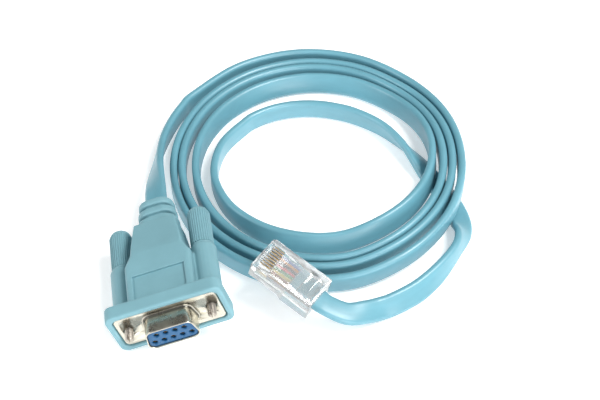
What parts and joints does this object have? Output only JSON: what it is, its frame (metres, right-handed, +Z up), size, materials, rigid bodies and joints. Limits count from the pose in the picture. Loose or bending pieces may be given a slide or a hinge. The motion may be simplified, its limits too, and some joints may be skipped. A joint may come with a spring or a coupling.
{
  "type": "rj45 console cable",
  "caption": "Light blue flat console cable, coiled, with a moulded thumbscrew serial connector at one end and a clear modular plug at the other.",
  "frame": {"origin": "on the floor, under the middle of the nine-socket connector's box", "axes": "+Y along the connector's axis from its mating face towards its cable, +Z up, +X to the right seen from the mating face"},
  "size_m": [0.1192, 0.1208, 0.0242],
  "materials": {
    "moulded_blue": "satin moulded PVC, light blue",
    "cable_jacket": "smooth flexible PVC jacket, light blue",
    "insert_blue": "moulded insert, mid blue",
    "plated_nickel": "pressed steel, nickel plated",
    "screw_steel": "plated steel screw",
    "contact_gold": "gold-plated contact",
    "clear_plastic": "clear polycarbonate",
    "wire_1": "coloured wire insulation",
    "wire_2": "coloured wire insulation",
    "wire_3": "coloured wire insulation",
    "wire_4": "coloured wire insulation",
    "wire_5": "coloured wire insulation",
    "wire_6": "coloured wire insulation",
    "wire_7": "coloured wire insulation",
    "wire_8": "coloured wire insulation"
  },
  "bodies": {
    "root": {"db9_hood": "moulded_blue", "db9_shell": "plated_nickel", "db9_insert": "insert_blue", "flat_cable": "cable_jacket", "rj45_body": "clear_plastic", "socket_contact_1": "contact_gold", "socket_contact_2": "contact_gold", "socket_contact_3": "contact_gold", "socket_contact_4": "contact_gold", "socket_contact_5": "contact_gold", "socket_contact_6": "contact_gold", "socket_contact_7": "contact_gold", "socket_contact_8": "contact_gold", "socket_contact_9": "contact_gold", "rj45_contact_1": "contact_gold", "rj45_contact_2": "contact_gold", "rj45_contact_3": "contact_gold", "rj45_contact_4": "contact_gold", "rj45_contact_5": "contact_gold", "rj45_contact_6": "contact_gold", "rj45_contact_7": "contact_gold", "rj45_contact_8": "contact_gold", "conductor_1": "wire_1", "conductor_2": "wire_2", "conductor_3": "wire_3", "conductor_4": "wire_4", "conductor_5": "wire_5", "conductor_6": "wire_6", "conductor_7": "wire_7", "conductor_8": "wire_8"},
    "thumbscrew_left": {"left_knob": "moulded_blue", "left_screw": "screw_steel"},
    "thumbscrew_right": {"right_knob": "moulded_blue", "right_screw": "screw_steel"},
    "latch": {"rj45_latch": "clear_plastic"}
  },
  "joints": [
    {"name": "left_thumbscrew_turn", "type": "hinge", "parent": "root", "child": "thumbscrew_left", "pos_m": [-0.01203, 0.00135, 0.00871], "axis": [0, 1, 0], "continuous": true},
    {"name": "right_thumbscrew_turn", "type": "hinge", "parent": "root", "child": "thumbscrew_right", "pos_m": [0.01203, 0.00135, 0.0155], "axis": [0, 1, 0], "continuous": true},
    {"name": "latch_press", "type": "hinge", "parent": "root", "child": "latch", "pos_m": [0.02969, -0.00292, 0.01059], "axis": [-0.7003, -0.713, -0.0339], "range_deg": [0, 12], "stiffness_Nm_per_rad": 0.05}
  ]
}
